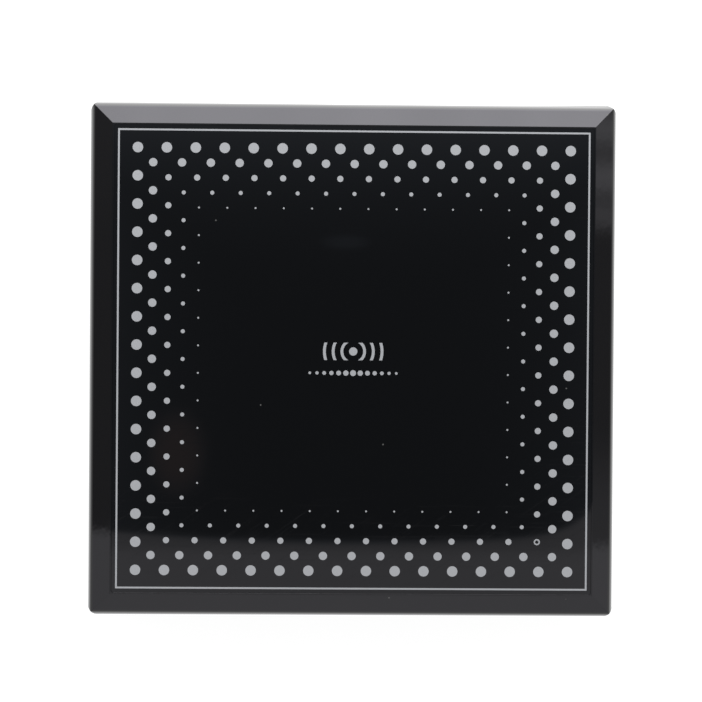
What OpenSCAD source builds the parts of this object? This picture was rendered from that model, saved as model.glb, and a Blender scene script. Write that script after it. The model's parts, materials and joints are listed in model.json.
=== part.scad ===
// Label deactivator pad: a flat counter-top unit with a bevelled gloss cover, a flush printed
// face panel, a vented tray with a recessed socket bay, and its loops and electronics inside.
// Millimetres. +X is to the right, +Y is the rear (socket side), +Z is up.
// The origin is the middle of the footprint, on the surface that the feet stand on.

/* [Case] */
// Width of the cover, left to right
pad_w = 242; // [238:1:262]
// Depth of the cover, front to rear
pad_d = 236; // [232:1:258]
// Height from the counter to the top of the cover
pad_h = 75; // [74:1:84]
// Radius of the cover's upright corners
corner_r = 5.5; // [2:0.5:6]
// Wall thickness of the cover
cover_wall = 2.6; // [2.2:0.1:3]
// Plan width of the bevel round the top
bevel_run = 10.5; // [8:0.5:11]
// Height of the bevel round the top
bevel_drop = 8.5; // [6:0.5:9]
// Radius of the rounded rim between the bevel and the side
rim_r = 7.5; // [3:0.5:8]

/* [Face pattern] */
// Width of the outermost ring of dots, centre to centre
field_w = 197.9; // [180:0.1:199]
// Depth of the outermost ring of dots, centre to centre
field_d = 193; // [176:0.1:194]
// Dots along each side of the outermost ring
outer_count = 16; // [12:1:18]
// Number of rings of dots
ring_count = 5; // [4:1:6]
// Shrink of each ring from the one outside it, as a share of the outermost ring
ring_step = 0.0708; // [0.06:0.0002:0.08]
// Diameter of the dots in the outermost ring
dot_d = 4.8; // [4.4:0.1:5.4]
// Diameter of the dots in the innermost ring
dot_min = 0.88; // [0.8:0.02:1.4]
// Distance from the cover's edge to the middle of the border line
line_inset = 13.4; // [12.5:0.1:15]
// Width of the border line
line_w = 0.8; // [0.6:0.1:1.4]

/* [Sockets and controls] */
// Width of the recessed bay at the rear
bay_w = 100; // [98:1:110]
// Height of the recessed bay
bay_h = 28; // [28:1:30]
// Depth of the recessed bay
bay_depth = 10; // [9:0.5:11]
// Tilt of the rocker to each side of its middle, in degrees
rocker_tilt = 10; // [6:1:12]

/* [Tray] */
// Ventilation slots in each side wall
vent_count = 11; // [5:1:15]
// Distance from one ventilation slot to the next
vent_pitch = 7; // [6:0.5:8]
// Width of a ventilation slot
vent_w = 2.6; // [2:0.1:3]

/* [Hidden] */

$fn = 48;
eps = 0.01;
black = [0.05, 0.05, 0.055];
silver = [0.74, 0.75, 0.76];
steel = [0.62, 0.63, 0.65];
board_green = [0.05, 0.26, 0.16];
copper = [0.72, 0.42, 0.2];

// Heights of the case
foot_h = 3;
tray_top = 50;
seam_gap = 1.2;
cover_bottom = tray_top + seam_gap;
panel_recess = 1;
cavity_top = pad_h - panel_recess - cover_wall;
bevel_slope = bevel_drop / bevel_run;
cavity_rim_r = rim_r - cover_wall + 1;
// Height of the cavity's own bevel, which keeps the wall's thickness under the outer bevel
cavity_drop = cavity_top - (pad_h - bevel_drop + bevel_slope * cover_wall
  - cover_wall * sqrt(1 + bevel_slope * bevel_slope));

// Tray
tray_setback = 1;
tray_w = pad_w - 2 * tray_setback;
tray_d = pad_d - 2 * tray_setback;
tray_wall = 3.2;
floor_t = 2.6;
floor_top = foot_h + floor_t;
tray_chamfer = 3;
edge_break = 0.4;
tongue_h = 5;
tongue_play = 0.2;

// Face panel and print
lip_w = 0.6;
panel_gap = 0.12;
adhesive_t = 0.1;
panel_t = 0.85;
ink_t = 0.04;
panel_w = pad_w - 2 * (bevel_run + lip_w + panel_gap);
panel_d = pad_d - 2 * (bevel_run + lip_w + panel_gap);
adhesive_z = pad_h - panel_recess;
panel_z = adhesive_z + adhesive_t;
ink_z = panel_z + panel_t;
indicator_ring = 2;
indicator_x = ring_half(field_w, indicator_ring);
indicator_y = -ring_half(field_d, indicator_ring);
window_r = 0.8;
pipe_r = 1.5;
pipe_flange_r = 2.6;
pipe_flange_t = 0.8;

// Long case screws and the pillars that they run in
screw_inset = 13;
screw_x = pad_w / 2 - screw_inset;
screw_y = pad_d / 2 - screw_inset;
pillar_r = 4.75;
pillar_top = 47;
case_shoulder = 20;
case_shank_r = 1.75;
case_head_r = 3.2;
case_head_h = 2.4;
// Bore below the shoulder, which the head and the driver pass through
case_bore_r = 3.6;
case_screw_end = 60;

// Feet
foot_r = 9;
foot_seat = 1.5;
foot_x = pad_w / 2 - 28;
foot_y = pad_d / 2 - 28;

// Rear bay and the plate in it
bay_z = 26;
bay_skin = 2.4;
bay_back = tray_d / 2 - bay_depth;
plate_t = 1.6;
plate_front = bay_back + plate_t;
plate_w = bay_w - 4;
plate_h = bay_h - 2;
plate_screw_x = plate_w / 2 - 3;
window_w = 82;
window_h = 18;

// Places along the plate
switch_x = -30;
range_x = -5;
volume_x = 10;
jack_x = 30;

// Switch
switch_w = 18.8;
switch_h = 12.6;
switch_depth = 12;
bezel_t = 2;
rocker_r = 7.9;
rocker_w = 9;
rocker_play = 0.1;
rocker_face = 3.1;
pivot_r = 1.2;
pivot_y = plate_front + bezel_t - rocker_face;
blade_y = bay_back - switch_depth;
blade_length = 8;
blade_offset = 5;

// Power jack
barrel_r = 4;
barrel_bore_r = 2.85;
jack_flange_t = 1.5;
jack_front = plate_front + jack_flange_t;
jack_back = bay_back - 9;
jack_floor = 2;
jack_pin_r = 1;
jack_tail_r = 0.8;
jack_tail = 4;
tag_t = 0.6;

// Adjusters
bushing_r = 3.5;
bushing_reach = 5;
shaft_r = 1.5;
shaft_play = 0.05;
adjuster_depth = 5;

// Coil carrier under the cover
carrier_bottom = cavity_top - 8.4;
carrier_t = 2;
carrier_top = carrier_bottom + carrier_t;
carrier_inset = 15;
carrier_screw_x = 82.5;
carrier_screw_y = 60;
indicator_board_t = 1.6;

// Circuit board
board_w = 150;
board_d = 100;
board_t = 1.6;
board_y = 28;
board_z = floor_top + 6;
board_top = board_z + board_t;
board_screw_x = board_w / 2 - 6;
board_screw_dy = board_d / 2 - 6;
plug_top = board_top + 8;
lead_r = 0.8;

// Small screws, for the plate, the carrier, the board and the transistors
small_screw_r = 1.25;
small_head_r = 2.4;
small_head_h = 1.8;
post_r = 3.5;
thread_play = 0.05;

// Rating label
label_w = 64;
label_d = 38;
label_t = 0.15;
label_recess = 0.3;

// Heat sink and the transistors on it
sink_x = 50;
sink_y = 35;
sink_l = 56;
sink_h = 32;
transistor_ys = [sink_y - 14, sink_y + 14];
tab_hole_z = 19;
tab_t = 1.3;

// Output chokes
choke_x = 18;
choke_ys = [32, 60];
choke_z = board_top + 1.6;
choke_r = 9;
choke_bore_r = 5;
choke_h = 7;

// Fuse
fuse_x = -36;
fuse_y = 66;
fuse_z = board_top + 5;
fuse_r = 2.5;

// Places of the board's lead connectors: x, y and number of ways
header_places = [[-8, 71, 2], [52, 71, 4], [52, -16, 2]];
way_pitch = 3;
header_d = 6.4;
header_wall = 0.9;
plug_floor = 1.1;

// Half the width (or depth) of ring i, from the size of the outermost ring
function ring_half(size, i) = size / 2 * (1 - i * ring_step);

// Rectangle with rounded corners, centred
module rounded_rect(w, d, r) {
  square([w - 2 * r, d], center = true);
  square([w, d - 2 * r], center = true);
  for (x = [-1, 1], y = [-1, 1])
    translate([x * (w / 2 - r), y * (d / 2 - r)]) circle(r);
}

// Rounded slab, centred in plan, standing on z
module slab(w, d, r, z, h) {
  translate([0, 0, z]) linear_extrude(h) rounded_rect(w, d, r);
}

// Long prism whose section has its top corners cut by run x drop and its bottom corners by foot.
// The corner between the side and the top bevel is rounded to radius rim.
module bevel_prism(w, length, z0, z1, run, drop, foot, rim) {
  x = w / 2;
  slope = atan(drop / run);
  // Distance from the sharp corner to each end of the rounding
  t = rim / tan(45 + slope / 2);
  corner_z = z1 - drop;
  rotate([90, 0, 0])
    linear_extrude(length, center = true) {
      polygon([
        [-x, z0 + foot], [foot - x, z0], [x - foot, z0], [x, z0 + foot],
        [x, corner_z - t], [x - t * cos(slope), corner_z + t * sin(slope)], [x - run, z1],
        [run - x, z1], [t * cos(slope) - x, corner_z + t * sin(slope)], [-x, corner_z - t]
      ]);
      for (side = [-1, 1])
        translate([side * (x - rim), corner_z - t]) circle(rim);
    }
}

// Block with mitred bevels along its top and bottom edges and rounded upright corners
module bevelled_block(w, d, r, z0, z1, run, drop, foot, rim) {
  intersection() {
    slab(w, d, r, z0, z1 - z0);
    bevel_prism(w, d + 2, z0, z1, run, drop, foot, rim);
    rotate([0, 0, 90]) bevel_prism(d, w + 2, z0, z1, run, drop, foot, rim);
  }
}

// Copies at the four corners of a rectangle
module at_corners(x, y) {
  for (sx = [-1, 1], sy = [-1, 1]) translate([sx * x, sy * y, 0]) children();
}

// Cylinder along +Y from y = 0
module rod_y(r, length) {
  rotate([-90, 0, 0]) cylinder(r = r, h = length);
}

// Cylinder along +Z between two heights
module rod_z(r, z0, z1) {
  translate([0, 0, z0]) cylinder(r = r, h = z1 - z0);
}

// Pan-head screw with a cross recess: the shank points to +Z from z = 0, the head lies below
module screw(shank_r, length, head_r, head_h) {
  recess_w = head_r * 0.28;
  recess_depth = head_h * 0.6;
  difference() {
    rotate_extrude()
      polygon([
        [0, -head_h], [head_r * 0.72, -head_h], [head_r, -head_h * 0.55], [head_r, 0],
        [shank_r, 0], [shank_r, length - shank_r * 0.6], [shank_r * 0.5, length], [0, length]
      ]);
    for (turn = [0, 90])
      rotate([0, 0, turn])
        translate([0, 0, recess_depth / 2 - head_h - eps])
          cube([head_r * 1.15, recess_w, recess_depth], center = true);
  }
}

// Straight pieces of wire through a list of points, with ball corners
module wire(path) {
  for (i = [0 : len(path) - 2]) {
    run = path[i + 1] - path[i];
    flat = norm([run[0], run[1]]);
    translate(path[i])
      rotate([0, atan2(flat, run[2]), flat > 0 ? atan2(run[1], run[0]) : 0])
        cylinder(r = lead_r, h = norm(run), $fn = 24);
  }
  if (len(path) > 2)
    for (i = [1 : len(path) - 2]) translate(path[i]) sphere(r = lead_r * 1.04, $fn = 24);
}

// ---- Case ----

module top_cover() {
  boss_top = cavity_top + 1;
  color(black) difference() {
    union() {
      difference() {
        bevelled_block(
          pad_w, pad_d, corner_r, cover_bottom, pad_h, bevel_run, bevel_drop, edge_break, rim_r
        );
        bevelled_block(
          pad_w - 2 * cover_wall, pad_d - 2 * cover_wall, 2, cover_bottom - 1, cavity_top,
          cavity_drop / bevel_slope, cavity_drop, edge_break, cavity_rim_r
        );
      }
      at_corners(screw_x, screw_y) rod_z(pillar_r, pillar_top, boss_top);
      at_corners(carrier_screw_x, carrier_screw_y) rod_z(post_r, carrier_top, boss_top);
    }
    slab(panel_w + 2 * panel_gap, panel_d + 2 * panel_gap, 1.1, adhesive_z, panel_recess + 1);
    at_corners(screw_x, screw_y)
      rod_z(case_shank_r + thread_play, pillar_top - 1, case_screw_end + 1);
    at_corners(carrier_screw_x, carrier_screw_y)
      rod_z(small_screw_r + thread_play, carrier_top - 1, cavity_top - 0.4);
    translate([indicator_x, indicator_y, 0]) rod_z(pipe_r + 0.05, cavity_top - 1, pad_h);
  }
}

module face_panel() {
  color(black) difference() {
    slab(panel_w, panel_d, 1, panel_z, panel_t);
    translate([indicator_x, indicator_y, 0]) rod_z(window_r, panel_z - 1, pad_h + 1);
  }
}

module panel_adhesive() {
  inset = 1;
  color([0.85, 0.85, 0.8]) difference() {
    slab(panel_w - 2 * inset, panel_d - 2 * inset, 1, adhesive_z, adhesive_t);
    translate([indicator_x, indicator_y, 0]) rod_z(pipe_r + 0.2, adhesive_z - 1, pad_h);
  }
}

// Screen-printed layer: border line, rings of dots and the wave sign over a row of dots
module printed_pattern() {
  color(silver) translate([0, 0, ink_z]) linear_extrude(ink_t) {
    border_line();
    for (i = [0 : ring_count - 1]) dot_ring(i);
    wave_sign();
    dot_row();
  }
}

module border_line() {
  w = pad_w - 2 * line_inset;
  d = pad_d - 2 * line_inset;
  difference() {
    square([w + line_w, d + line_w], center = true);
    square([w - line_w, d - line_w], center = true);
  }
}

// Square ring of evenly spaced dots; ring 0 is the outermost
module dot_ring(i) {
  gaps = outer_count - 1 - i;
  x = ring_half(field_w, i);
  y = ring_half(field_d, i);
  r = (dot_d + (dot_min - dot_d) * i / (ring_count - 1)) / 2;
  for (k = [0 : gaps - 1]) {
    along_x = x * (2 * k / gaps - 1);
    along_y = y * (2 * k / gaps - 1);
    translate([along_x, y]) circle(r, $fn = 32);
    translate([x, -along_y]) circle(r, $fn = 32);
    translate([-along_x, -y]) pattern_dot(r, i == indicator_ring && k == 0);
    translate([-x, along_y]) circle(r, $fn = 32);
  }
}

// Dot of the pattern, or the ring round the indicator window
module pattern_dot(r, is_window) {
  difference() {
    circle(r, $fn = 32);
    if (is_window) circle(window_r, $fn = 32);
  }
}

// Radio waves to both sides of a dot
module wave_sign() {
  stroke = 1.3;
  translate([0, 4]) {
    circle(1.9);
    for (side = [0, 180], r = [5.2, 9.2, 13.2])
      rotate([0, 0, side]) intersection() {
        difference() {
          circle(r + stroke / 2, $fn = 96);
          circle(r - stroke / 2, $fn = 96);
        }
        translate([0, -4]) square([20, 8]);
      }
  }
}

// Row of dots that grow towards the middle
module dot_row() {
  reach = 6;
  spacing = 3.3;
  for (k = [-reach : reach])
    translate([k * spacing, -5.9]) circle(1.35 - 0.12 * abs(k), $fn = 32);
}

module light_pipe() {
  top = ink_z - 0.02;
  color([0.8, 0.9, 0.85, 0.6]) translate([indicator_x, indicator_y, 0])
    rotate_extrude()
      polygon([
        [0, cavity_top - pipe_flange_t], [pipe_flange_r, cavity_top - pipe_flange_t],
        [pipe_flange_r, cavity_top], [pipe_r, cavity_top], [pipe_r, adhesive_z],
        [window_r - 0.05, adhesive_z], [window_r - 0.05, top], [0, top]
      ]);
}

module base_tray() {
  color([0.09, 0.09, 0.1]) difference() {
    union() {
      tray_shell();
      at_corners(screw_x, screw_y) rod_z(pillar_r, foot_h + 1, pillar_top);
      pillar_webs();
      translate([0, board_y, 0])
        at_corners(board_screw_x, board_screw_dy) rod_z(post_r, foot_h + 1, board_z);
      floor_ribs();
      bay_box();
    }
    bay_cuts();
    at_corners(screw_x, screw_y) {
      rod_z(case_bore_r, foot_h - 1, case_shoulder);
      rod_z(case_shank_r + 0.2, case_shoulder - 1, pillar_top + 1);
    }
    translate([0, board_y, 0]) at_corners(board_screw_x, board_screw_dy)
      rod_z(small_screw_r + thread_play, floor_top, board_z + 1);
    at_corners(foot_x, foot_y) rod_z(foot_r + 0.2, foot_h - 1, foot_h + foot_seat);
    side_vents();
    floor_vents();
    slab(label_w + 1, label_d + 1, 2, foot_h - 1, 1 + label_recess);
  }
}

module tray_shell() {
  inner_w = tray_w - 2 * tray_wall;
  inner_d = tray_d - 2 * tray_wall;
  tongue_w = pad_w - 2 * (cover_wall + tongue_play);
  tongue_d = pad_d - 2 * (cover_wall + tongue_play);
  difference() {
    union() {
      bevelled_block(
        tray_w, tray_d, corner_r, foot_h, tray_top, edge_break, edge_break, tray_chamfer, edge_break
      );
      slab(tongue_w, tongue_d, 1.8, tray_top - 5, 5 + tongue_h);
    }
    slab(inner_w, inner_d, 1.5, floor_top, pad_h);
  }
}

// Webs that tie each screw pillar to the two walls beside it
module pillar_webs() {
  reach = screw_inset - tray_setback - tray_wall + 0.5;
  web_t = 1.8;
  for (sx = [-1, 1], sy = [-1, 1])
    translate([sx * screw_x, sy * screw_y, foot_h + 1]) {
      translate([sx * reach / 2, 0, 20]) cube([reach, web_t, 40], center = true);
      translate([0, sy * reach / 2, 20]) cube([web_t, reach, 40], center = true);
    }
}

// Stiffening ribs across the front of the floor, clear of the board
module floor_ribs() {
  for (y = [-84, -64, -44])
    translate([-70, y, foot_h + 1]) cube([140, 1.6, 6]);
}

// Walls of the rear bay, and the posts for the plate's screws
module bay_box() {
  box_w = bay_w + 2 * bay_skin;
  box_h = bay_h + 2 * bay_skin;
  translate([-box_w / 2, bay_back - bay_skin, bay_z - box_h / 2])
    cube([box_w, bay_depth + bay_skin - 1, box_h]);
  for (side = [-1, 1])
    translate([side * plate_screw_x, bay_back - 8, bay_z]) rod_y(post_r, 8);
}

module bay_cuts() {
  translate([-bay_w / 2, bay_back, bay_z - bay_h / 2]) cube([bay_w, bay_depth + 2, bay_h]);
  translate([-window_w / 2, bay_back - bay_skin - 1, bay_z - window_h / 2])
    cube([window_w, bay_skin + 2, window_h]);
  for (side = [-1, 1])
    translate([side * plate_screw_x, bay_back - 7, bay_z])
      rod_y(small_screw_r + thread_play, 8);
}

// Upright slots through both side walls
module side_vents() {
  vent_h = 20;
  for (side = [-1, 1], k = [0 : vent_count - 1])
    translate([side * (tray_w / 2 - tray_wall / 2), (k - (vent_count - 1) / 2) * vent_pitch, 28])
      rotate([0, 90, 0])
        linear_extrude(tray_wall + 2, center = true)
          rounded_rect(vent_h, vent_w, vent_w / 2 - 0.1);
}

// Slots through the floor under the board
module floor_vents() {
  for (side = [-1, 1], k = [0 : 6])
    translate([side * 52, board_y - 24 + 8 * k, foot_h - 1])
      linear_extrude(floor_t + 2) rounded_rect(24, vent_w, vent_w / 2 - 0.1);
}

module rubber_feet() {
  color([0.08, 0.08, 0.08]) at_corners(foot_x, foot_y)
    rotate_extrude()
      polygon([
        [0, 0], [foot_r - 1.4, 0], [foot_r - 0.5, 0.6], [foot_r, foot_h],
        [foot_r, foot_h + foot_seat], [0, foot_h + foot_seat]
      ]);
}

module case_screws() {
  color(steel) at_corners(screw_x, screw_y)
    translate([0, 0, case_shoulder])
      screw(case_shank_r, case_screw_end - case_shoulder, case_head_r, case_head_h);
}

module rating_label() {
  color([0.8, 0.8, 0.8])
    slab(label_w, label_d, 1.5, foot_h + label_recess - label_t, label_t);
}

// ---- Socket plate, switch, jack and adjusters ----

module socket_plate() {
  color(silver) difference() {
    translate([0, plate_front, bay_z]) rotate([90, 0, 0])
      linear_extrude(plate_t) rounded_rect(plate_w, plate_h, 1);
    translate([switch_x, bay_back, bay_z])
      cube([switch_w + 0.4, 4 * plate_t, switch_h + 0.4], center = true);
    translate([jack_x, bay_back - 1, bay_z]) rod_y(barrel_r + 0.1, plate_t + 2);
    for (x = [range_x, volume_x])
      translate([x, bay_back - 1, bay_z]) rod_y(bushing_r + 0.1, plate_t + 2);
    for (side = [-1, 1])
      translate([side * plate_screw_x, bay_back - 1, bay_z]) rod_y(1.6, plate_t + 2);
  }
}

module plate_screws() {
  color(steel) for (side = [-1, 1])
    translate([side * plate_screw_x, plate_front, bay_z])
      rotate([90, 0, 0]) screw(small_screw_r, plate_t + 6, small_head_r, 1.6);
}

module switch_housing() {
  latch = 0.5;
  color([0.07, 0.07, 0.07]) translate([switch_x, 0, bay_z]) difference() {
    union() {
      translate([0, plate_front + bezel_t, 0]) rotate([90, 0, 0])
        linear_extrude(bezel_t) rounded_rect(21, 15, 1);
      translate([-switch_w / 2, bay_back - switch_depth, -switch_h / 2])
        cube([switch_w, switch_depth + plate_t, switch_h]);
      translate([-switch_w / 2 - latch, bay_back - 2.2, -3])
        cube([switch_w + 2 * latch, 2, 6]);
    }
    translate([-rocker_r - rocker_play, bay_back - 7, -rocker_w / 2 - 0.2])
      cube([2 * (rocker_r + rocker_play), 20, rocker_w + 0.4]);
    translate([0, pivot_y, -switch_h / 2 - 1]) cylinder(r = pivot_r + 0.05, h = switch_h + 2);
  }
}

// Rocker at rest with its far end pressed in: a shallow V face, ends that sweep round the pivot
module switch_rocker() {
  rise = 9 * tan(rocker_tilt);
  color([0.1, 0.1, 0.1]) translate([switch_x, pivot_y, bay_z]) rotate([0, 0, -rocker_tilt])
    difference() {
      union() {
        translate([0, 0, -rocker_w / 2]) linear_extrude(rocker_w)
          intersection() {
            circle(rocker_r, $fn = 96);
            polygon([
              [-9, rocker_face + rise], [0, rocker_face], [9, rocker_face + rise],
              [9, -0.6], [2.4, -3], [-2.4, -3], [-9, -0.6]
            ]);
          }
        cylinder(r = pivot_r, h = switch_h - 0.6, center = true);
      }
      rocker_mark(-1) cube([0.7, 1, 4], center = true);
      rocker_mark(1) rotate([90, 0, 0]) difference() {
        cylinder(r = 1.7, h = 1, center = true);
        cylinder(r = 1.05, h = 2, center = true);
      }
    }
}

// Shallow engraved mark on one half of the rocker's face
module rocker_mark(side) {
  depth = 0.25;
  translate([side * 4.6, rocker_face + 4.6 * tan(rocker_tilt) + 0.5 - depth, 0])
    rotate([0, 0, side * rocker_tilt]) children();
}

module switch_terminals() {
  color(silver) for (side = [-1, 1])
    translate([switch_x + side * blade_offset - 0.4, blade_y - blade_length, bay_z - 2.4])
      cube([0.8, blade_length, 4.8]);
}

module power_jack() {
  color([0.1, 0.1, 0.1]) translate([jack_x, 0, bay_z]) difference() {
    union() {
      translate([0, jack_back, 0]) rod_y(barrel_r, jack_front - jack_back);
      translate([0, plate_front, 0]) rod_y(5.5, jack_flange_t);
    }
    translate([0, jack_back + jack_floor, 0]) rod_y(barrel_bore_r, 20);
    translate([0, jack_back - 1, 0]) rod_y(jack_tail_r + 0.02, 5);
  }
}

// Contact pin, with a thinner tail through the floor of the socket
module jack_pin() {
  color(silver) translate([jack_x, jack_back, bay_z]) {
    translate([0, jack_floor, 0]) rod_y(jack_pin_r, jack_front - 1.5 - jack_back - jack_floor);
    translate([0, -jack_tail, 0]) rod_y(jack_tail_r, jack_tail + jack_floor + eps);
  }
}

// Solder tag: a ring round the barrel with a short tab
module jack_tag() {
  color(silver) translate([jack_x, bay_back - tag_t, bay_z]) difference() {
    union() {
      rod_y(5.8, tag_t);
      translate([-1.5, 0, 4]) cube([3, tag_t, 4.4]);
    }
    translate([0, -1, 0]) rod_y(barrel_r + 0.15, tag_t + 2);
  }
}

// Hexagonal nut along Y
module nut(flats, bore_r, t) {
  difference() {
    rotate([-90, 0, 0]) cylinder(d = flats / cos(30), h = t, $fn = 6);
    translate([0, -1, 0]) rod_y(bore_r, t + 2);
  }
}

module jack_nut() {
  t = 2.2;
  color(steel) translate([jack_x, bay_back - tag_t - t, bay_z]) nut(11, barrel_r + 0.05, t);
}

// Housing and threaded bushing of an adjuster, with the chamber for the shaft's collar
module adjuster(x) {
  color([0.2, 0.25, 0.35]) translate([x, bay_back, bay_z]) difference() {
    union() {
      translate([-4.9, -adjuster_depth, -5.5]) cube([9.8, adjuster_depth, 11]);
      translate([0, -1, 0]) rod_y(bushing_r, bushing_reach + 1);
      for (k = [-1 : 1]) translate([k * 2.5, -2.5, -8.5]) cylinder(r = 0.4, h = 4);
    }
    translate([0, -4.2, 0]) rod_y(3.3, 2.2);
    translate([0, -3, 0]) rod_y(shaft_r + shaft_play, bushing_reach + 4);
  }
}

// Slotted shaft of an adjuster, held by its collar
module adjuster_shaft(x) {
  reach = bushing_reach + 0.8;
  color(silver) translate([x, bay_back, bay_z]) difference() {
    union() {
      translate([0, -4, 0]) rod_y(shaft_r, reach + 4);
      translate([0, -4, 0]) rod_y(3.2, 1.8);
    }
    translate([-2, reach - 1, -0.35]) cube([4, 2, 0.7]);
  }
}

module range_adjuster() { adjuster(range_x); }
module volume_adjuster() { adjuster(volume_x); }
module range_shaft() { adjuster_shaft(range_x); }
module volume_shaft() { adjuster_shaft(volume_x); }

module adjuster_nuts() {
  color(steel) for (x = [range_x, volume_x])
    translate([x, plate_front, bay_z]) nut(10, bushing_r + 0.05, 2);
}

// ---- Coil carrier, loops and indicator ----

module coil_carrier() {
  w = pad_w - 2 * carrier_inset;
  d = pad_d - 2 * carrier_inset;
  color([0.75, 0.7, 0.5]) difference() {
    slab(w, d, 22, carrier_bottom, carrier_t);
    slab(w - 90, d - 90, 10, carrier_bottom - 1, carrier_t + 2);
    at_corners(carrier_screw_x, carrier_screw_y)
      rod_z(1.5, carrier_bottom - 1, carrier_top + 1);
  }
}

module carrier_screws() {
  color(steel) at_corners(carrier_screw_x, carrier_screw_y)
    translate([0, 0, carrier_bottom]) screw(small_screw_r, 7.6, small_head_r, small_head_h);
}

// Flat wound loop, lying on the carrier
module loop(w, d, r, band, h) {
  difference() {
    slab(w, d, r, carrier_top, h);
    slab(w - 2 * band, d - 2 * band, r - band, carrier_top - 1, h + 2);
  }
}

module transmit_loop() {
  color(copper) loop(pad_w - 2 * (carrier_inset + 3), pad_d - 2 * (carrier_inset + 3), 20, 6, 5);
}

module receive_loop() {
  color(copper) loop(150, 144, 14, 4, 3);
}

module indicator_board() {
  color(board_green) translate([indicator_x, indicator_y, 0])
    slab(14, 10, 1, carrier_top, indicator_board_t);
}

module indicator_led() {
  base = carrier_top + indicator_board_t;
  top = cavity_top - pipe_flange_t - 0.15;
  color([0.7, 0.85, 0.7]) translate([indicator_x, indicator_y, 0])
    rotate_extrude()
      polygon([
        [0, base], [1.9, base], [1.9, base + 0.8], [1.5, base + 0.8], [1.5, top - 1.1],
        [1.3, top - 0.55], [0.8, top - 0.15], [0, top]
      ]);
}

// ---- Circuit board ----

module circuit_board() {
  color(board_green) translate([0, board_y, 0]) difference() {
    slab(board_w, board_d, 2, board_z, board_t);
    at_corners(board_screw_x, board_screw_dy) rod_z(1.6, board_z - 1, board_top + 1);
  }
}

module board_screws() {
  color(steel) translate([0, board_y, board_top])
    at_corners(board_screw_x, board_screw_dy)
      mirror([0, 0, 1]) screw(small_screw_r, 7, small_head_r, small_head_h);
}

// Upright electrolytic capacitors with a crimp groove and a rounded top
module bulk_capacitors() {
  r = 9;
  h = 32;
  color([0.12, 0.14, 0.3]) for (y = [2, 24, 46])
    translate([-58, y, board_top]) difference() {
      rotate_extrude()
        polygon([
          [0, 0], [r - 0.5, 0], [r, 0.5], [r, 2.6], [r - 0.7, 3.4], [r, 4.2],
          [r, h - 1], [r - 0.3, h - 0.3], [r - 1, h], [0, h]
        ]);
      for (turn = [0, 90])
        rotate([0, 0, turn]) translate([0, 0, h]) cube([10, 0.5, 0.6], center = true);
    }
}

module film_capacitors() {
  color([0.65, 0.1, 0.08]) for (k = [0 : 3])
    translate([-34 + 9 * k, 44, board_top]) linear_extrude(11) rounded_rect(6, 15, 1);
}

// Finned sink that stands on the board behind the transistors
module heat_sink() {
  base_t = 3;
  fin_reach = 17;
  fin_t = 1.6;
  fin_count = 8;
  fin_gap = (sink_l - fin_t) / (fin_count - 1);
  color([0.2, 0.2, 0.21]) difference() {
    translate([sink_x, sink_y - sink_l / 2, board_top]) linear_extrude(sink_h) {
      square([base_t, sink_l]);
      for (k = [0 : fin_count - 1])
        translate([base_t - eps, k * fin_gap]) square([fin_reach, fin_t]);
    }
    for (y = transistor_ys) translate([sink_x - 1, y, board_top + tab_hole_z])
      rotate([0, 90, 0]) cylinder(r = small_screw_r + thread_play, h = 8);
  }
}

// Power transistors: moulded body, metal tab against the sink, three legs into the board
module power_transistors() {
  color([0.12, 0.12, 0.12]) for (y = transistor_ys)
    translate([sink_x, y, board_top]) difference() {
      union() {
        translate([-4.5, -5, 6]) cube([4.5, 10, 9.2]);
        translate([-tab_t, -5, 6]) cube([tab_t, 10, 15.8]);
        for (k = [-1 : 1]) translate([-2.6, 2.54 * k - 0.4, 0]) cube([0.6, 0.8, 7]);
      }
      translate([-3, 0, tab_hole_z]) rotate([0, 90, 0]) cylinder(r = 1.7, h = 6);
    }
}

module transistor_screws() {
  color(steel) for (y = transistor_ys)
    translate([sink_x - tab_t, y, board_top + tab_hole_z])
      rotate([0, 90, 0]) screw(small_screw_r, 6, 2.6, small_head_h);
}

// Toroidal cores, flat on the board
module choke_cores() {
  color([0.75, 0.7, 0.2]) for (y = choke_ys)
    translate([choke_x, y, choke_z]) difference() {
      cylinder(r = choke_r, h = choke_h);
      translate([0, 0, -1]) cylinder(r = choke_bore_r, h = choke_h + 2);
    }
}

// Turns of wire round each core, as square hoops
module choke_windings() {
  turns = 14;
  t = 0.9;
  play = 0.05;
  inner_w = choke_r - choke_bore_r + 2 * play;
  inner_h = choke_h + 2 * play;
  color(copper) for (y = choke_ys, k = [0 : turns - 1])
    translate([choke_x, y, choke_z]) rotate([0, 0, k * 360 / turns])
      translate([choke_bore_r - play, -t / 2, -play]) difference() {
        translate([-t, 0, -t]) cube([inner_w + 2 * t, t, inner_h + 2 * t]);
        translate([0, -1, 0]) cube([inner_w, t + 2, inner_h]);
      }
}

module voltage_regulator() {
  color([0.1, 0.1, 0.1]) translate([32, 0, board_top]) {
    translate([-3.3, -3, 0]) cube([6.6, 6.2, 2.3]);
    translate([-2.7, 3, 0]) cube([5.4, 3, 0.6]);
    for (side = [-1, 1]) translate([side * 2.3 - 0.4, -5.4, 0]) cube([0.8, 2.6, 0.6]);
  }
}

// Chip with legs along two sides
module chip(w, d, legs) {
  pitch = 1.27;
  translate([-w / 2, -d / 2, 0.15]) cube([w, d, 1.6]);
  for (k = [0 : legs - 1], side = [-1, 1])
    translate([(k - (legs - 1) / 2) * pitch - 0.2, side * (d / 2 + 0.4) - 0.7, 0])
      cube([0.4, 1.4, 0.5]);
}

module control_chips() {
  color([0.08, 0.08, 0.08]) translate([0, 0, board_top]) {
    translate([-12, 8, 0]) chip(18, 7.5, 14);
    translate([14, 6, 0]) chip(10, 4, 8);
    translate([-34, 6, 0]) chip(5, 4, 4);
  }
}

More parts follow.
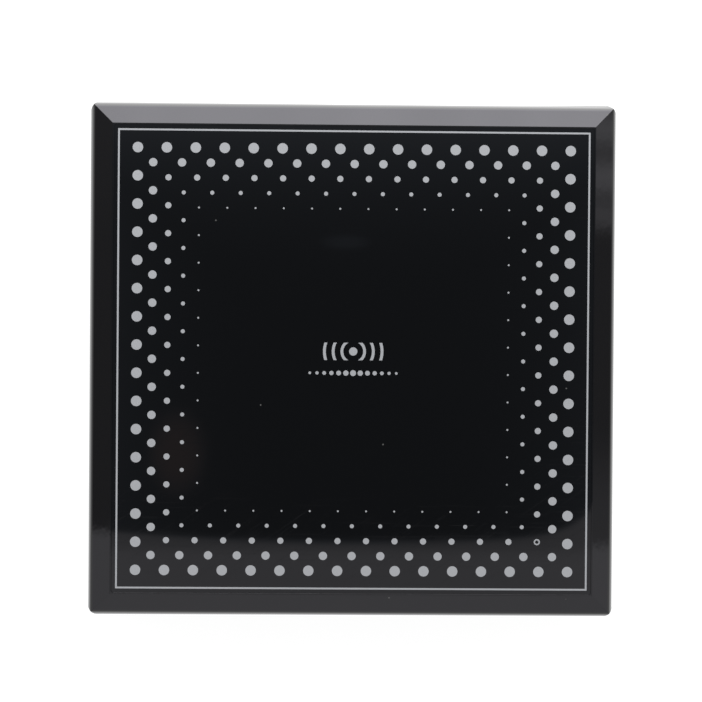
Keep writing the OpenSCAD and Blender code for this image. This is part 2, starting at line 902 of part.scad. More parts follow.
module crystal() {
  color(silver) translate([-12, -8, board_top]) linear_extrude(3.6) rounded_rect(11, 4.6, 2.2);
}

module chip_resistors() {
  color([0.1, 0.1, 0.12]) for (i = [0 : 7], j = [0 : 1])
    translate([-40 + 5 * i, 20 + 4 * j, board_top]) cube([3.2, 1.6, 0.6]);
}

module sounder() {
  color([0.07, 0.07, 0.07]) translate([-36, -10, board_top]) difference() {
    cylinder(r = 6, h = 9.5);
    translate([0, 0, 7]) cylinder(r = 1.25, h = 4);
  }
}

// Cartridge fuse between two clips
module along_fuse(offset) {
  translate([fuse_x + offset, fuse_y, fuse_z]) rotate([0, 90, 0]) children();
}

module fuse_tube() {
  color([0.8, 0.85, 0.85, 0.5]) along_fuse(-9) difference() {
    cylinder(r = fuse_r - 0.3, h = 18);
    translate([0, 0, -1]) cylinder(r = fuse_r - 0.9, h = 20);
  }
}

module fuse_caps() {
  cap = 5;
  color(silver) for (side = [0, 1]) mirror_fuse(side) along_fuse(-10) difference() {
    cylinder(r = fuse_r, h = cap);
    translate([0, 0, 0.8]) cylinder(r = fuse_r - 0.25, h = cap);
  }
}

module mirror_fuse(side) {
  translate([fuse_x, 0, 0]) mirror([side, 0, 0]) translate([-fuse_x, 0, 0]) children();
}

module fuse_clips() {
  t = 0.5;
  color(steel) for (side = [0, 1]) mirror_fuse(side)
    translate([fuse_x - 9.5, fuse_y, board_top]) {
      translate([0, -fuse_r - t - 0.05, 0]) cube([4, t, 7]);
      translate([0, fuse_r + 0.05, 0]) cube([4, t, 7]);
      translate([0, -fuse_r - t - 0.05, 0]) cube([4, 2 * (fuse_r + t + 0.05), t]);
    }
}

module board_headers() {
  color([0.9, 0.9, 0.85]) for (p = header_places)
    translate([p[0], p[1], board_top]) difference() {
      w = p[2] * way_pitch + 2 * header_wall + 0.2;
      translate([-w / 2, -header_d / 2, 0]) cube([w, header_d, 6]);
      translate([header_wall - w / 2, header_wall - header_d / 2, 1])
        cube([w - 2 * header_wall, header_d - 2 * header_wall, 6]);
    }
}

module lead_plugs() {
  d = header_d - 2 * header_wall - 0.2;
  color([0.85, 0.85, 0.8]) for (p = header_places)
    translate([p[0] - p[2] * way_pitch / 2, p[1] - d / 2, board_top + plug_floor])
      cube([p[2] * way_pitch, d, plug_top - board_top - plug_floor]);
}

// Place of one way of a connector, at the top of its plug
function way(header, k) =
  [header[0] + (k - (header[2] - 1) / 2) * way_pitch, header[1], plug_top];

// A point lifted by dz
function lift(p, dz) = [p[0], p[1], p[2] + dz];

module power_leads() {
  header = header_places[0];
  near_blade = [switch_x + blade_offset, blade_y - blade_length, bay_z];
  far_blade = [switch_x - blade_offset, blade_y - blade_length, bay_z];
  tail = [jack_x, jack_back - jack_tail, bay_z];
  tab = [jack_x, bay_back - tag_t, bay_z + 7];
  lead_y = near_blade[1] - 5;
  color([0.6, 0.08, 0.06]) {
    wire([near_blade, [near_blade[0], lead_y, bay_z], lift(way(header, 0), 8), way(header, 0)]);
    wire([tail, [jack_x, tail[1] - 6, bay_z], lift(way(header, 1), 12), way(header, 1)]);
    wire([
      tab, [jack_x, tab[1] - 8, tab[2]], [far_blade[0], lead_y, tab[2]],
      [far_blade[0], lead_y, bay_z], far_blade
    ]);
  }
}

module loop_leads() {
  header = header_places[1];
  color([0.15, 0.15, 0.5]) for (k = [0 : 3]) {
    foot = way(header, k);
    wire([
      [foot[0], 80, carrier_bottom], [foot[0], 80, carrier_bottom - 14], lift(foot, 10), foot
    ]);
  }
}

module led_leads() {
  header = header_places[2];
  color([0.1, 0.4, 0.2]) for (k = [0 : 1]) {
    foot = way(header, k);
    wire([
      [indicator_x - 3 + 3 * k, indicator_y, carrier_bottom],
      [indicator_x - 3 + 3 * k, indicator_y, carrier_bottom - 14],
      lift(foot, 14), foot
    ]);
  }
}

top_cover();
face_panel();
panel_adhesive();
printed_pattern();
light_pipe();
base_tray();
rubber_feet();
case_screws();
rating_label();
socket_plate();
plate_screws();
switch_housing();
switch_rocker();
switch_terminals();
power_jack();
jack_pin();
jack_nut();
jack_tag();
range_adjuster();
range_shaft();
volume_adjuster();
volume_shaft();
adjuster_nuts();
coil_carrier();
carrier_screws();
transmit_loop();
receive_loop();
indicator_board();
indicator_led();
circuit_board();
board_screws();
bulk_capacitors();
film_capacitors();
heat_sink();
power_transistors();
transistor_screws();
choke_cores();
choke_windings();
voltage_regulator();
control_chips();
crystal();
chip_resistors();
sounder();
fuse_tube();
fuse_caps();
fuse_clips();
board_headers();
lead_plugs();
power_leads();
loop_leads();
led_leads();
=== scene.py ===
"""Looks of a label deactivator pad: materials, softened edges, studio and camera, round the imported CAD."""

import json
import math

import bpy
from mathutils import Matrix, Vector


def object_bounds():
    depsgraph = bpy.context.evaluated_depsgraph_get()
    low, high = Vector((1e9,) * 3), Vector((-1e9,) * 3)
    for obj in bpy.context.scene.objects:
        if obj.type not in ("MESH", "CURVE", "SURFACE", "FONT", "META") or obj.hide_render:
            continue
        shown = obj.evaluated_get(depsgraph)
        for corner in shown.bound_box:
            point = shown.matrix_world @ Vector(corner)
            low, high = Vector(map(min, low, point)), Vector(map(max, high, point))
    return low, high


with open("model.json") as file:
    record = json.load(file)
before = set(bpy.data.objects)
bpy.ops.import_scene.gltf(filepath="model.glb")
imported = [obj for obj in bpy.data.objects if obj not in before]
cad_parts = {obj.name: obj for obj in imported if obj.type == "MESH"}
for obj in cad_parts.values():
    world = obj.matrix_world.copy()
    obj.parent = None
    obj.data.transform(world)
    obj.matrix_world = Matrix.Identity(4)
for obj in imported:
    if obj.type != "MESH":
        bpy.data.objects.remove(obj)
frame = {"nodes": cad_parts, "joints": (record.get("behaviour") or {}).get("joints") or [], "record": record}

CAD_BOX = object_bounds()
NODES = frame["nodes"]
MM = 0.001


# ---- Node graphs ----


class Value:
    """An output socket of a node graph that takes part in arithmetic."""

    def __init__(self, graph, socket):
        self.graph = graph
        self.socket = socket

    def __add__(self, other):
        return self.graph.math("ADD", self, other)

    __radd__ = __add__

    def __sub__(self, other):
        return self.graph.math("SUBTRACT", self, other)

    def __rsub__(self, other):
        return self.graph.math("SUBTRACT", other, self)

    def __mul__(self, other):
        return self.graph.math("MULTIPLY", self, other)

    __rmul__ = __mul__

    def __truediv__(self, other):
        return self.graph.math("DIVIDE", self, other)

    def __rtruediv__(self, other):
        return self.graph.math("DIVIDE", other, self)

    def __pow__(self, other):
        return self.graph.math("POWER", self, other)

    def __abs__(self):
        return self.graph.math("ABSOLUTE", self)


class Graph:
    """Short calls for building a shader out of nodes."""

    def __init__(self, tree):
        self.tree = tree
        tree.nodes.clear()

    def node(self, kind, **settings):
        made = self.tree.nodes.new(kind)
        for name, value in settings.items():
            setattr(made, name, value)
        return made

    def feed(self, socket, value):
        if isinstance(value, Value):
            self.tree.links.new(value.socket, socket)
        else:
            socket.default_value = value

    def math(self, operation, *values):
        made = self.node("ShaderNodeMath", operation=operation)
        for socket, value in zip(made.inputs, values):
            self.feed(socket, value)
        return Value(self, made.outputs[0])

    def smooth(self, value, low, high):
        """0 below low, 1 above high, with a smooth rise between them."""
        made = self.node("ShaderNodeMapRange", interpolation_type="SMOOTHSTEP")
        for name, source in (("Value", value), ("From Min", low), ("From Max", high)):
            self.feed(made.inputs[name], source)
        return Value(self, made.outputs["Result"])

    def position(self):
        """Position in the row frame as at rest, in metres. It moves with the body."""
        made = self.node("ShaderNodeTexCoord")
        return Value(self, made.outputs["Object"])

    def split(self, vector):
        made = self.node("ShaderNodeSeparateXYZ")
        self.feed(made.inputs[0], vector)
        return [Value(self, output) for output in made.outputs]

    def join(self, x, y, z):
        made = self.node("ShaderNodeCombineXYZ")
        for socket, value in zip(made.inputs, (x, y, z)):
            self.feed(socket, value)
        return Value(self, made.outputs[0])

    def stretch(self, vector, x, y, z):
        made = self.node("ShaderNodeVectorMath", operation="MULTIPLY")
        self.feed(made.inputs[0], vector)
        made.inputs[1].default_value = (x, y, z)
        return Value(self, made.outputs[0])

    def noise(self, vector, size, detail=2.0, roughness=0.5, distortion=0.0):
        """Noise from 0 to 1 whose features are about size metres across."""
        made = self.node("ShaderNodeTexNoise")
        self.feed(made.inputs["Vector"], vector)
        made.inputs["Scale"].default_value = 1.0 / size
        made.inputs["Detail"].default_value = detail
        made.inputs["Roughness"].default_value = roughness
        made.inputs["Distortion"].default_value = distortion
        return Value(self, made.outputs["Fac"])

    def cells(self, vector, size):
        """(distance to the cell's point in cell widths, random number of the cell)."""
        made = self.node("ShaderNodeTexVoronoi")
        self.feed(made.inputs["Vector"], vector)
        made.inputs["Scale"].default_value = 1.0 / size
        picked = self.node("ShaderNodeSeparateColor")
        self.tree.links.new(made.outputs["Color"], picked.inputs[0])
        return Value(self, made.outputs["Distance"]), Value(self, picked.outputs[0])

    def blend(self, share, a, b):
        """Colour a where share is 0 and colour b where it is 1."""
        made = self.node("ShaderNodeMix", data_type="RGBA")
        self.feed(made.inputs["Factor"], share)
        for socket, value in ((made.inputs[6], a), (made.inputs[7], b)):
            self.feed(socket, value if isinstance(value, Value) else (*value, 1.0))
        return Value(self, made.outputs[2])

    def bump(self, height, depth):
        """Surface normal for a height from 0 to 1 that stands for depth metres."""
        made = self.node("ShaderNodeBump")
        made.inputs["Strength"].default_value = 1.0
        made.inputs["Distance"].default_value = depth
        self.feed(made.inputs["Height"], height)
        return Value(self, made.outputs["Normal"])

    def edge(self, radius, low=0.015, high=0.12):
        """1 along sharp edges, 0 on flat faces."""
        rounded = self.node("ShaderNodeBevel", samples=4)
        rounded.inputs["Radius"].default_value = radius
        true = self.node("ShaderNodeNewGeometry")
        along = self.node("ShaderNodeVectorMath", operation="DOT_PRODUCT")
        self.tree.links.new(rounded.outputs[0], along.inputs[0])
        self.tree.links.new(true.outputs["Normal"], along.inputs[1])
        return self.smooth(1.0 - Value(self, along.outputs["Value"]), low, high)

    def surface(self, **inputs):
        """Principled surface as the material's output. Underscores in the names stand for spaces."""
        shader = self.node("ShaderNodeBsdfPrincipled")
        for name, value in inputs.items():
            socket = shader.inputs[name.replace("_", " ")]
            if isinstance(value, tuple) and len(value) == 3 and socket.type == "RGBA":
                value = (*value, 1.0)
            self.feed(socket, value)
        output = self.node("ShaderNodeOutputMaterial")
        self.tree.links.new(shader.outputs[0], output.inputs["Surface"])


def new_material(name):
    material = bpy.data.materials.new(name)
    material.use_nodes = True
    return material, Graph(material.node_tree)


# ---- Shared surface detail ----


def dust(graph, place, spacing, share, radius=0.07):
    """1 on sparse specks of dust: share of the cells, spacing apart, hold one."""
    distance, pick = graph.cells(place, spacing)
    speck = 1.0 - graph.smooth(distance, radius * 0.6, radius)
    return speck * graph.smooth(pick, 1.0 - share, 1.001 - share)


def scratches(graph, place, along, across):
    """1 on fine hairlines, long in x and short in y."""
    streaks = graph.noise(graph.stretch(place, 1 / along, 1 / across, 1 / across), 1.0, 1.0)
    return graph.smooth(streaks, 0.72, 0.78)


def smudges(graph, place, size):
    """Soft patches, as left by wiping hands."""
    return graph.smooth(graph.noise(place, size, 4.0, 0.6, 0.4), 0.52, 0.74)


# ---- Plastics ----


def gloss_plastic(name, colour, roughness, peel, wear_and_highlight=0.4):
    """Polished moulding: orange peel, wiping marks, dust and slightly duller edges, painted a little
    lighter, partly as wear and partly as a painted highlight.
    """
    material, graph = new_material(name)
    place = graph.position()
    specks = dust(graph, place, 9 * MM, 0.16)
    marks = smudges(graph, place, 30 * MM)
    # Lighter colour along the edges: partly real wear, partly a painted highlight on the rounded rims.
    edges = graph.edge(0.5 * MM) * wear_and_highlight
    worn_and_highlight = tuple(channel + 0.03 for channel in colour)
    colour = graph.blend(edges, colour, worn_and_highlight)
    colour = graph.blend(specks * 0.5, colour, (0.16, 0.16, 0.15))
    waviness = graph.noise(place, 3.5 * MM, 1.0)
    graph.surface(
        Base_Color=colour,
        Roughness=roughness + marks * 0.02 + edges * 0.15 + specks * 0.4,
        IOR=1.5,
        Normal=graph.bump(waviness, peel),
    )
    return material


def panel_acrylic():
    """Mirror-polished black sheet with faint hairlines, wiping marks and dust."""
    material, graph = new_material("panel_acrylic")
    place = graph.position()
    x, y, z = graph.split(place)
    turn_x, turn_y = 0.82, 0.57
    turned = graph.join(x * turn_x + y * turn_y, y * turn_x - x * turn_y, z)
    lines = scratches(graph, place, 40 * MM, 0.12 * MM) + scratches(graph, turned, 30 * MM, 0.1 * MM)
    specks = dust(graph, place, 7 * MM, 0.05)
    marks = smudges(graph, place, 38 * MM)
    colour = graph.blend(specks * 0.5, (0.0028, 0.0029, 0.0032), (0.13, 0.13, 0.125))
    graph.surface(
        Base_Color=colour,
        Roughness=0.02 + marks * 0.015 + lines * 0.02 + specks * 0.4,
        IOR=1.49,
        Normal=graph.bump(lines * 0.1 + specks, 0.004 * MM),
    )
    return material


def grained_plastic(name, colour, roughness, grain, wear_and_highlight=0.5):
    """Spark-eroded moulding: fine grain, faint flow tone, dust and polished edges, painted lighter, partly
    as wear and partly as a painted highlight.
    """
    material, graph = new_material(name)
    place = graph.position()
    fine = graph.noise(place, 0.45 * MM, 3.0, 0.6)
    pits, _ = graph.cells(place, 0.7 * MM)
    tone = graph.noise(place, 35 * MM, 2.0)
    fleck = graph.smooth(graph.noise(place, 1.1 * MM, 2.0, 0.6), 0.45, 0.7)
    # Lighter colour along the edges: partly real polish and wear, partly a painted highlight.
    edges = graph.edge(0.6 * MM) * wear_and_highlight
    specks = dust(graph, place, 8 * MM, 0.12)
    lighter = tuple(channel * 1.5 + 0.006 for channel in colour)
    colour = graph.blend(tone * 0.4 + fleck * 0.3 + edges * 0.8, colour, lighter)
    colour = graph.blend(specks * 0.5, colour, (0.2, 0.2, 0.19))
    graph.surface(
        Base_Color=colour,
        Roughness=roughness + fine * 0.12 + fleck * 0.1 - edges * 0.12,
        IOR=1.5,
        Normal=graph.bump(fine + pits * 0.6, grain),
    )
    return material


def rubber():
    material, graph = new_material("foot_rubber")
    place = graph.position()
    fine = graph.noise(place, 0.6 * MM, 4.0, 0.7)
    scuffs = graph.smooth(graph.noise(place, 3 * MM, 5.0, 0.7), 0.5, 0.75)
    graph.surface(
        Base_Color=graph.blend(scuffs, (0.012, 0.012, 0.012), (0.045, 0.043, 0.04)),
        Roughness=0.72 + fine * 0.2,
        Normal=graph.bump(fine, 0.06 * MM),
    )
    return material


def silver_ink():
    """Screen-printed silver-grey ink with a slightly uneven lay. Its flakes mirror more than plain ink."""
    material, graph = new_material("print_ink")
    place = graph.position()
    mottle = graph.noise(place, 0.5 * MM, 3.0, 0.6)
    flake = graph.noise(place, 0.12 * MM, 1.0)
    graph.surface(
        Base_Color=graph.blend(mottle, (0.238, 0.247, 0.26), (0.306, 0.315, 0.327)),
        Roughness=0.14 + flake * 0.1,
        IOR=2.3,
        Normal=graph.bump(mottle, 0.012 * MM),
    )
    return material


def clear_acrylic():
    material, graph = new_material("clear_acrylic")
    place = graph.position()
    haze = graph.noise(place, 0.8 * MM, 3.0)
    graph.surface(
        Base_Color=graph.blend(haze, (0.8, 0.88, 0.84), (0.88, 0.94, 0.9)),
        Roughness=0.05 + haze * 0.08,
        IOR=1.49,
        Transmission_Weight=1.0,
    )
    return material


# ---- Metals ----


def plated_steel():
    """Zinc-plated screws and nuts: cloudy plating with turned marks."""
    material, graph = new_material("screw_steel")
    place = graph.position()
    cloud = graph.noise(place, 1.2 * MM, 3.0, 0.6)
    turned = graph.noise(graph.stretch(place, 1, 1, 9), 0.5 * MM, 2.0)
    graph.surface(
        Base_Color=graph.blend(cloud, (0.34, 0.34, 0.33), (0.52, 0.53, 0.54)),
        Metallic=1.0,
        Roughness=0.22 + cloud * 0.18 + graph.edge(0.15 * MM) * 0.1,
        Normal=graph.bump(turned, 0.006 * MM),
    )
    return material


def brushed_metal(name, dark, light, roughness, along=(22, 900, 900)):
    """Sheet metal brushed along x, with handling marks."""
    material, graph = new_material(name)
    place = graph.position()
    grain = graph.noise(graph.stretch(place, *along), 1.0, 3.0, 0.65)
    stain = smudges(graph, place, 14 * MM)
    graph.surface(
        Base_Color=graph.blend(grain, dark, light),
        Metallic=1.0,
        Roughness=roughness + grain * 0.16 + stain * 0.06,
        Normal=graph.bump(grain, 0.012 * MM),
    )
    return material


def bright_metal():
    material, graph = new_material("tinned_metal")
    place = graph.position()
    cloud = graph.noise(place, 0.9 * MM, 3.0)
    graph.surface(
        Base_Color=graph.blend(cloud, (0.42, 0.415, 0.39), (0.58, 0.575, 0.56)),
        Metallic=1.0,
        Roughness=0.14 + cloud * 0.12,
        Normal=graph.bump(cloud, 0.004 * MM),
    )
    return material


def enamelled_copper():
    """Wound wire: ridges one wire apart in plan and in height."""
    material, graph = new_material("enamelled_copper")
    x, y, z = graph.split(graph.position())
    wire = 0.8 * MM
    turn = 2 * math.pi / wire
    ridges = graph.math("SINE", (abs(x) + abs(y)) * turn) + graph.math("SINE", z * turn)
    tone = graph.noise(graph.position(), 2 * MM, 2.0)
    graph.surface(
        Base_Color=graph.blend(tone, (0.42, 0.16, 0.05), (0.62, 0.27, 0.1)),
        Metallic=0.8,
        Roughness=0.25 + tone * 0.12,
        Normal=graph.bump(ridges * 0.25 + 0.5, 0.25 * MM),
    )
    return material


# ---- Boards and components ----


def board_laminate():
    """Green solder mask with copper tracks that show through it."""
    material, graph = new_material("board_laminate")
    place = graph.position()
    tracks = graph.node("ShaderNodeTexBrick", offset=0.37, squash=0.6, squash_frequency=3)
    graph.feed(tracks.inputs["Vector"], graph.stretch(place, 260, 260, 0))
    tracks.inputs["Mortar Size"].default_value = 0.06
    line = Value(graph, tracks.outputs["Fac"])
    weave = graph.noise(place, 0.5 * MM, 2.0)
    graph.surface(
        Base_Color=graph.blend(line, (0.006, 0.075, 0.032), (0.02, 0.16, 0.06)),
        Roughness=0.25 + weave * 0.12,
        Normal=graph.bump(line * 0.6 + weave * 0.2, 0.03 * MM),
    )
    return material


def laminate_frame():
    material, graph = new_material("fibre_board")
    place = graph.position()
    weave = graph.noise(graph.stretch(place, 1, 3, 1), 0.9 * MM, 3.0)
    graph.surface(
        Base_Color=graph.blend(weave, (0.42, 0.34, 0.16), (0.56, 0.47, 0.26)),
        Roughness=0.5 + weave * 0.15,
        Normal=graph.bump(weave, 0.03 * MM),
    )
    return material


def label_foil():
    material, graph = new_material("label_foil")
    place = graph.position()
    grain = graph.noise(graph.stretch(place, 20, 900, 900), 1.0, 2.0)
    wrinkle = graph.noise(place, 6 * MM, 3.0)
    graph.surface(
        Base_Color=graph.blend(grain, (0.55, 0.56, 0.57), (0.68, 0.69, 0.7)),
        Metallic=0.7,
        Roughness=0.38 + grain * 0.1,
        Normal=graph.bump(grain * 0.2 + wrinkle, 0.02 * MM),
    )
    return material


def switch_plastic():
    return grained_plastic("switch_plastic", (0.012, 0.012, 0.012), 0.26, 0.008 * MM)


def rocker_plastic():
    """The rocker's moulding, with the line and the ring on its two halves filled with white paint."""
    material, graph = new_material("rocker_plastic")
    joint = next(j for j in frame["joints"] if j["name"] == "rocker_tilt")
    pivot = Vector(joint["pos_m"])
    lean = math.radians(joint["range_deg"][1] / 2)
    x, y, z = graph.split(graph.position())
    dx, dy, dz = x - pivot.x, y - pivot.y, z - pivot.z
    along = dx * math.cos(lean) - dy * math.sin(lean)
    out = dx * math.sin(lean) + dy * math.cos(lean)
    mark_x = 4.6 * MM
    bar_half_w, bar_half_h = 0.35 * MM, 2 * MM
    ring_r, ring_half_w = 1.375 * MM, 0.33 * MM
    blur = 0.02 * MM
    face = 3 * MM
    bar = graph.smooth(bar_half_w - abs(along + mark_x), -blur, blur)
    bar = bar * graph.smooth(bar_half_h - abs(dz), -blur, blur)
    radius = graph.math("SQRT", (along - mark_x) * (along - mark_x) + dz * dz)
    ring = graph.smooth(ring_half_w - abs(radius - ring_r), -blur, blur)
    paint = graph.math("MAXIMUM", bar, ring) * graph.smooth(out, face, face + 0.05 * MM)
    fine = graph.noise(graph.position(), 0.4 * MM, 3.0)
    graph.surface(
        Base_Color=graph.blend(paint, (0.012, 0.012, 0.012), (0.75, 0.75, 0.73)),
        Roughness=0.24 + fine * 0.1 + paint * 0.2,
        Normal=graph.bump(fine, 0.008 * MM),
    )
    return material


def assign_materials():
    """One material per slot of the record, and a painted one for the rocker."""
    made = {
        "cover_gloss": gloss_plastic("cover_gloss", (0.0034, 0.0034, 0.0037), 0.022, 0.003 * MM, 0.12),
        "panel_acrylic": panel_acrylic(),
        "clear_film": grained_plastic("clear_film", (0.62, 0.62, 0.58), 0.4, 0.004 * MM, 0),
        "print_ink": silver_ink(),
        "clear_acrylic": clear_acrylic(),
        "tray_plastic": grained_plastic("tray_plastic", (0.012, 0.012, 0.013), 0.4, 0.055 * MM),
        "foot_rubber": rubber(),
        "screw_steel": plated_steel(),
        "label_foil": label_foil(),
        "plate_aluminium": brushed_metal("plate_aluminium", (0.33, 0.335, 0.345), (0.5, 0.505, 0.515), 0.26),
        "switch_plastic": switch_plastic(),
        "tinned_metal": bright_metal(),
        "adjuster_blue": gloss_plastic("adjuster_blue", (0.03, 0.06, 0.16), 0.3, 0.01 * MM),
        "fibre_board": laminate_frame(),
        "enamelled_copper": enamelled_copper(),
        "board_laminate": board_laminate(),
        "capacitor_sleeve": gloss_plastic("capacitor_sleeve", (0.012, 0.016, 0.08), 0.28, 0.02 * MM),
        "film_red": gloss_plastic("film_red", (0.32, 0.02, 0.012), 0.25, 0.03 * MM),
        "black_aluminium": brushed_metal("black_aluminium", (0.03, 0.03, 0.032), (0.06, 0.06, 0.064), 0.38),
        "component_black": grained_plastic("component_black", (0.016, 0.016, 0.017), 0.5, 0.02 * MM),
        "ferrite": grained_plastic("ferrite", (0.5, 0.42, 0.06), 0.45, 0.03 * MM),
        "fuse_glass": clear_acrylic(),
        "connector_nylon": grained_plastic("connector_nylon", (0.66, 0.63, 0.52), 0.42, 0.01 * MM),
        "lead_red": grained_plastic("lead_red", (0.35, 0.02, 0.015), 0.4, 0.01 * MM),
        "lead_blue": grained_plastic("lead_blue", (0.03, 0.05, 0.3), 0.4, 0.01 * MM),
        "lead_green": grained_plastic("lead_green", (0.02, 0.2, 0.06), 0.4, 0.01 * MM),
    }
    for entry in frame["record"]["subparts"]:
        material = made[entry["material_slot"]]
        NODES[entry["node"]].data.materials[0] = material
    NODES["switch_rocker"].data.materials[0] = rocker_plastic()


# ---- Softened edges ----

# Radius of each node's softened edges, in millimetres
EDGE_RADIUS = {
    "top_cover": 0.14,
    "base_tray": 0.25,
    "socket_plate": 0.2,
    "switch_housing": 0.2,
    "switch_rocker": 0.25,
    "power_jack": 0.2,
    "range_adjuster": 0.15,
    "volume_adjuster": 0.15,
    "range_shaft": 0.08,
    "volume_shaft": 0.08,
    "adjuster_nuts": 0.2,
    "jack_nut": 0.2,
    "heat_sink": 0.15,
    "film_capacitors": 0.3,
    "power_transistors": 0.15,
    "control_chips": 0.06,
    "choke_cores": 0.5,
    "board_headers": 0.1,
    "lead_plugs": 0.15,
}


def soften(node, radius):
    """Rounds the node's sharp edges, so that they catch the light."""
    piece = NODES[node]
    weld = piece.modifiers.new("weld", "WELD")
    weld.merge_threshold = 0.002 * MM
    flatten = piece.modifiers.new("flatten", "DECIMATE")
    flatten.decimate_type = "DISSOLVE"
    flatten.angle_limit = math.radians(0.4)
    rounding = piece.modifiers.new("rounding", "BEVEL")
    rounding.width = radius
    rounding.segments = 3
    rounding.limit_method = "ANGLE"
    rounding.angle_limit = math.radians(24)
    shade = piece.modifiers.new("shade", "WEIGHTED_NORMAL")
    shade.weight = 100
    shade.keep_sharp = True


# ---- Studio ----

# The camera as fitted to the photograph. It aims close to the middle of the top
CAMERA_LENS = 168.2
CAMERA_DISTANCE = 1.5
CAMERA_LEAN_X = math.radians(-1.91)
CAMERA_LEAN_Y = math.radians(0.89)
CAMERA_ROLL = math.radians(0.424)
CAMERA_AIM = Vector((-1.02 * MM, 4.21 * MM, CAD_BOX[1].z))
CAMERA_BACK = Vector((math.sin(CAMERA_LEAN_X), math.sin(CAMERA_LEAN_Y), 1.0)).normalized()
CAMERA_PLACE = CAMERA_AIM + CAMERA_BACK * CAMERA_DISTANCE
# Height at which the cover's side turns into its rounded rim
RIM_START = CAD_BOX[1].z - 12 * MM


def add_camera():
    """Long lens high above the pad, leaning a little to the left and the rear."""
    data = bpy.data.cameras.new("camera")
    data.lens = CAMERA_LENS
    data.clip_start = 0.05
    data.clip_end = 50
    camera = bpy.data.objects.new("camera", data)
    up = CAMERA_BACK.cross(Vector((1, 0, 0))).normalized()
    axes = Matrix((up.cross(CAMERA_BACK), up, CAMERA_BACK)).transposed()
    turn = axes @ Matrix.Rotation(CAMERA_ROLL, 3, "Z")
    camera.matrix_world = Matrix.Translation(CAMERA_PLACE) @ turn.to_4x4()
    bpy.context.scene.collection.objects.link(camera)
    bpy.context.scene.camera = camera


def soft_patch(graph, across, forward, centre, size):
    """1 at the centre, fading to 0 on an ellipse whose half axes are the size."""
    u = (across - centre[0]) / size[0]
    v = (forward - centre[1]) / size[1]
    return 1.0 - graph.smooth(u * u + v * v, 0.0, 1.0)


def front_screen(graph, across, forward):
    """Pale screen ahead of the pad, whose bowed edge is sharper towards its ends."""
    curve = 0.33
    hook = 4.5 * MM
    upper, lower = 0.43, 0.2
    to_right = graph.math("MAXIMUM", across, 0.0) / (100 * MM)
    bow = across * across * curve + to_right ** 10 * hook
    start = abs(across) * 0.008 + 81.5 * MM
    end = 86 * MM - abs(across) * 0.018
    screen = graph.smooth(bow - forward, start, end) * upper
    return screen + graph.smooth(-1.0 * forward, 83 * MM, 91 * MM) * lower


def rear_glow(graph, across, forward):
    """Faint glow that grows towards the rear and the sides."""
    reach = 108 * MM
    at_reach, most = 0.22, 0.5
    off_centre = graph.math("MAXIMUM", forward, abs(across) * 0.75)
    glow = (graph.math("MAXIMUM", off_centre, 0.0) / reach) ** 4 * at_reach
    return graph.math("MINIMUM", glow, most) * (1.0 - graph.smooth(abs(across), 0.25, 0.5))


def overhead_light(graph, x, y, z):
    """What the level panel mirrors, placed by where on the panel the camera sees it.
    Returns its strength and the share of the warm patch at the left."""
    reach = CAMERA_DISTANCE / graph.math("MAXIMUM", z, 0.2)
    across = x * reach + CAMERA_PLACE.x
    forward = y * reach + CAMERA_PLACE.y
    warm = soft_patch(graph, across, forward, (-80 * MM, -43 * MM), (16 * MM, 24 * MM))
    rear = soft_patch(graph, across, forward, (-4 * MM, 54 * MM), (14 * MM, 4 * MM))
    dim = 0.05 + warm * 0.1 + rear * 0.09
    return dim + front_screen(graph, across, forward) + rear_glow(graph, across, forward), warm


def strip_light(graph, x, y, z):
    """Strip light low behind the pad, slightly to the right and brightest at its foot."""
    tubes = graph.noise(graph.join(x, 0.0, 0.0), 0.025, 1.0)
    centre = 0.034
    strength = 3.7
    foot = 0.16
    strip = graph.smooth(y, 0.9, 0.96) * (1.0 - graph.smooth(z, 0.2, 0.28))
    strip = strip * (1.0 - graph.smooth(abs(x - centre), 0.1, 0.14)) * (strength + tubes)
    return strip * (1.0 + foot - graph.smooth(z, 0.0, 0.13) * foot)


def side_flags(graph, x, y):
    """Dark flags at both sides: the share of the view they cover, and their strength.
    The right one has rows of pale shelves towards the rear."""
    front_end = -0.0722 - x * 0.0016
    share = graph.smooth(abs(x), 0.72, 0.86) * graph.smooth(y - front_end, -0.002, 0.002)
    right = graph.smooth(x, 0.0, 0.5)
    first_shelf, shelf_gap = 0.0344, 0.0145
    shelves = graph.math("SINE", (y - first_shelf) * (2 * math.pi / shelf_gap)) * 0.19 + 0.5
    at_right = graph.smooth(y, 0.018, 0.03) * shelves
    at_right = at_right + (1.0 - graph.smooth(y, -0.066, -0.035)) * 0.18 + 0.155
    at_left = graph.smooth(y, 0.01, 0.06) * 0.05 + 0.15
    return share, at_right * right + at_left * (1.0 - right)


def low_light(graph, x, y, z):
    """What the bevels mirror: the strip light, the flags and a pale room all round them."""
    room = 0.76
    share, flags = side_flags(graph, x, y)
    return room * (1.0 - share) + flags * share + strip_light(graph, x, y, z)


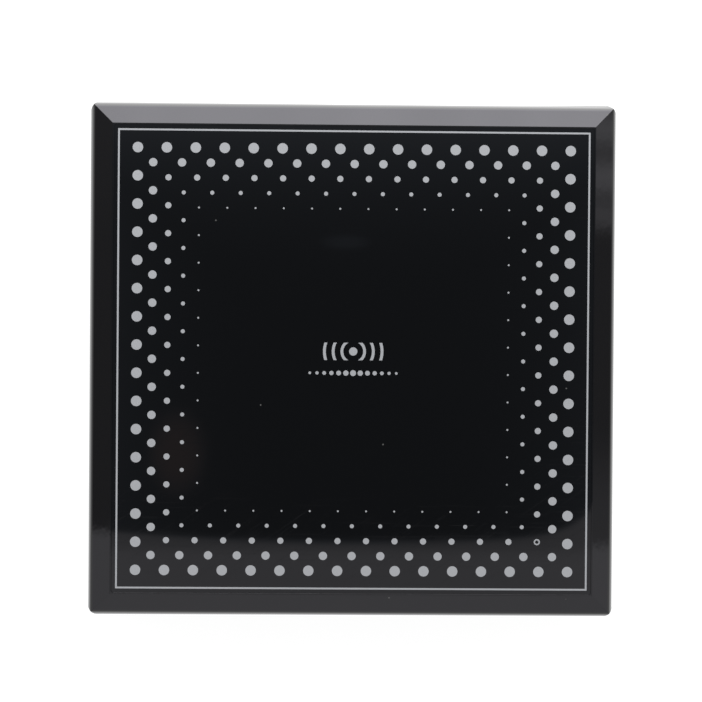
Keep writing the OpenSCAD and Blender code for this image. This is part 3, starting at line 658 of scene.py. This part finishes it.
def studio_light():
    """World seen by mirrors as a studio, by rough surfaces as a soft dome and by the camera as white."""
    world = bpy.data.worlds.new("studio")
    world.use_nodes = True
    graph = Graph(world.node_tree)
    direction = Value(graph, graph.node("ShaderNodeTexCoord").outputs["Generated"])
    x, y, z = graph.split(direction)
    height = graph.smooth(z, 0.2, 0.75)
    overhead, warm = overhead_light(graph, x, y, z)
    seen = overhead * height + low_light(graph, x, y, z) * (1.0 - height)
    rays = graph.node("ShaderNodeLightPath")
    mirrored = Value(graph, rays.outputs["Is Glossy Ray"])
    from_camera = Value(graph, rays.outputs["Is Camera Ray"])
    dome = 0.78
    strength = seen * mirrored + (1.0 - mirrored) * (from_camera * (1.0 - dome) + dome)
    neutral = graph.math("MAXIMUM", graph.smooth(seen, 0.1, 0.5), 1.0 - height)
    tint = graph.blend(neutral, (0.85, 1.0, 1.22), (1.0, 0.985, 1.06))
    tint = graph.blend(warm * height, tint, (1.3, 1.0, 1.0))
    background = graph.node("ShaderNodeBackground")
    graph.feed(background.inputs["Color"], graph.blend(mirrored, (1.0, 1.0, 1.0), tint))
    graph.feed(background.inputs["Strength"], strength)
    output = graph.node("ShaderNodeOutputWorld")
    graph.tree.links.new(background.outputs[0], output.inputs["Surface"])
    bpy.context.scene.world = world


def add_key_light():
    """Soft box behind and above the pad. It lights the ink and the plastics, and mirrors don't see it."""
    data = bpy.data.lights.new("soft_box", "AREA")
    data.shape = "RECTANGLE"
    data.size = 0.9
    data.size_y = 0.35
    data.energy = 6.8
    light = bpy.data.objects.new("soft_box", data)
    light.location = (0.0, 0.55, 0.5)
    light.rotation_euler = (-light.location).to_track_quat("-Z", "Y").to_euler()
    light.visible_glossy = False
    bpy.context.scene.collection.objects.link(light)


def rim_sweep(graph, incoming):
    """How the rounded rim of the cover mirrors the sweep: bright close by, then like the room beyond it."""
    x, y, _ = graph.split(graph.position())
    beside = graph.math("MAXIMUM", abs(x), abs(y)) - CAD_BOX[1].x
    nearest = 110 * MM
    away = graph.math("MAXIMUM", beside, nearest)
    level = graph.math("SQRT", incoming[0] * incoming[0] + incoming[1] * incoming[1] + 1e-6)
    horizon = low_light(graph, incoming[0] / level * -1.0, incoming[1] / level * -1.0, 0.0)
    return graph.math("MAXIMUM", 0.24 / away, horizon)


def add_floor():
    """Plain white sweep under the pad: blown out from above, with a soft shadow from the sides.
    The rounded rim of the cover mirrors a brighter one."""
    bpy.ops.mesh.primitive_circle_add(vertices=96, radius=4.0, fill_type="NGON")
    floor = bpy.context.object
    floor.name = "floor"
    material, graph = new_material("white_sweep")
    incoming = graph.split(Value(graph, graph.node("ShaderNodeNewGeometry").outputs["Incoming"]))
    rays = graph.node("ShaderNodeLightPath")
    mirrored = Value(graph, rays.outputs["Is Glossy Ray"])
    # Height of the point that mirrors the floor
    start = incoming[2] * Value(graph, rays.outputs["Ray Length"])
    in_rim = graph.smooth(start, RIM_START - 2 * MM, RIM_START + MM) * mirrored
    x, y, _ = graph.split(graph.position())
    far = graph.smooth(x * x + y * y, 0.02, 1.2) * mirrored
    above = graph.smooth(incoming[2], 0.75, 0.95)
    paper = graph.noise(graph.position(), 1.5 * MM, 2.0) * 0.02
    # Seen from above, more of the brightness comes from the glow and less from the lights
    tone = (paper + 0.5 - above * 0.29) * (1.0 - in_rim)
    glow = (0.6 + above * 0.28 - far * 0.45) * (1.0 - in_rim)
    graph.surface(
        Base_Color=graph.join(tone, tone, tone),
        Roughness=0.9,
        Emission_Color=(1.0, 1.0, 1.0),
        Emission_Strength=glow + rim_sweep(graph, incoming) * in_rim,
    )
    floor.data.materials.append(material)


def set_colours():
    scene = bpy.context.scene
    scene.view_settings.view_transform = "Standard"
    scene.view_settings.look = "None"


assign_materials()
for name, radius in EDGE_RADIUS.items():
    soften(name, radius * MM)
add_camera()
studio_light()
add_key_light()
add_floor()
set_colours()
